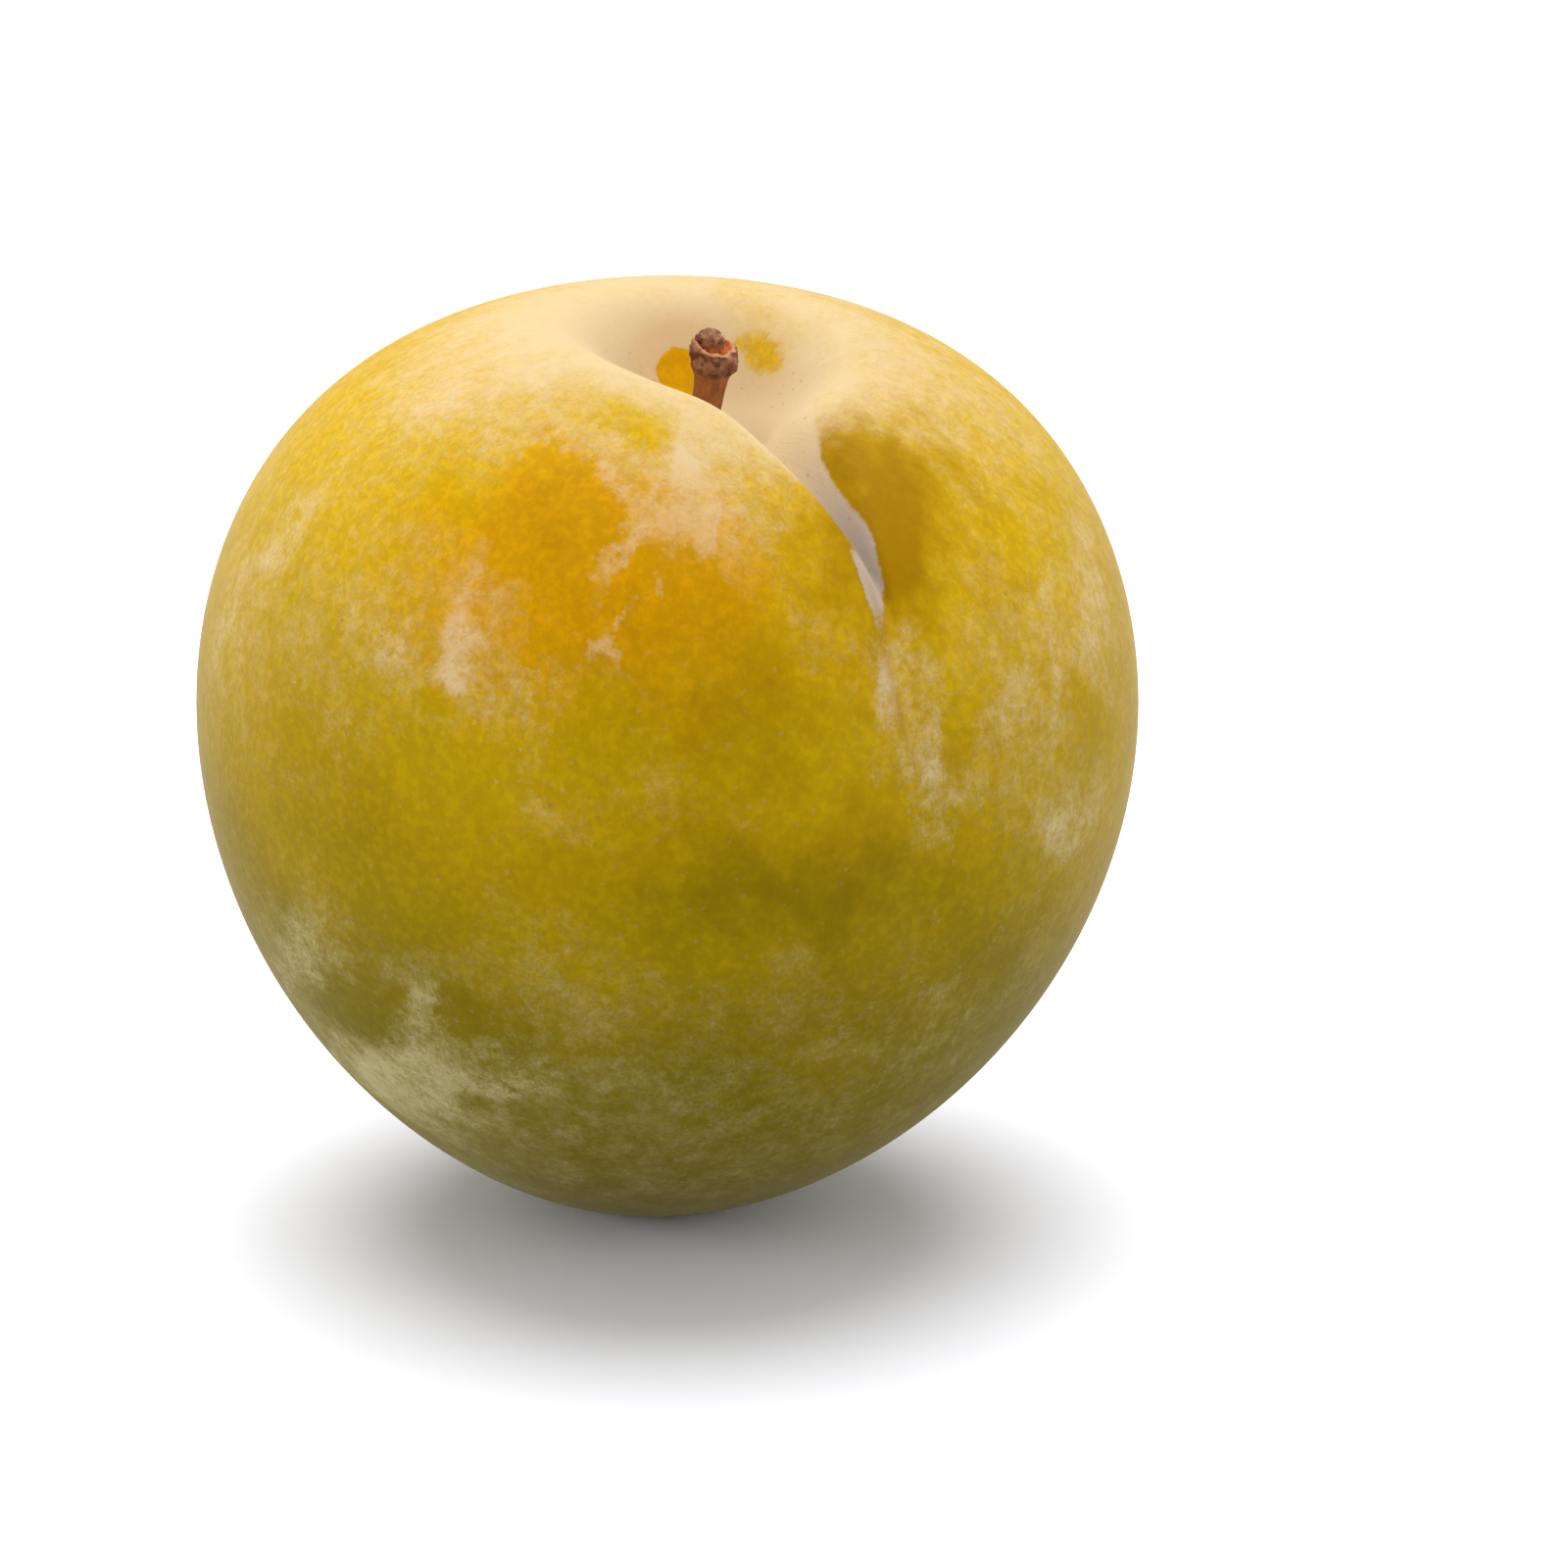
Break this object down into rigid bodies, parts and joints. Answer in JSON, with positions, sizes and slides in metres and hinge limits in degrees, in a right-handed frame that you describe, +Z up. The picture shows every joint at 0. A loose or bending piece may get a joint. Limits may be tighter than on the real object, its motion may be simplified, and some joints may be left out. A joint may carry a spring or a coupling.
{
  "type": "plum",
  "caption": "Ripe golden-green plum with a deep suture and a short stub of its stalk, resting on a small flat spot.",
  "frame": {"origin": "centre of the small flat spot that the fruit rests on", "axes": "+Z up, -Y towards the front, where the suture shows a little to the right, +X to the right"},
  "size_m": [0.0555, 0.0557, 0.0558],
  "materials": {
    "plum_skin": "waxy fruit skin with a thin matte bloom, satin where the bloom is rubbed off",
    "stalk_bark": "dry matte bark, corky at the joint"
  },
  "bodies": {
    "root": {"fruit": "plum_skin", "stalk": "stalk_bark"}
  },
  "joints": []
}
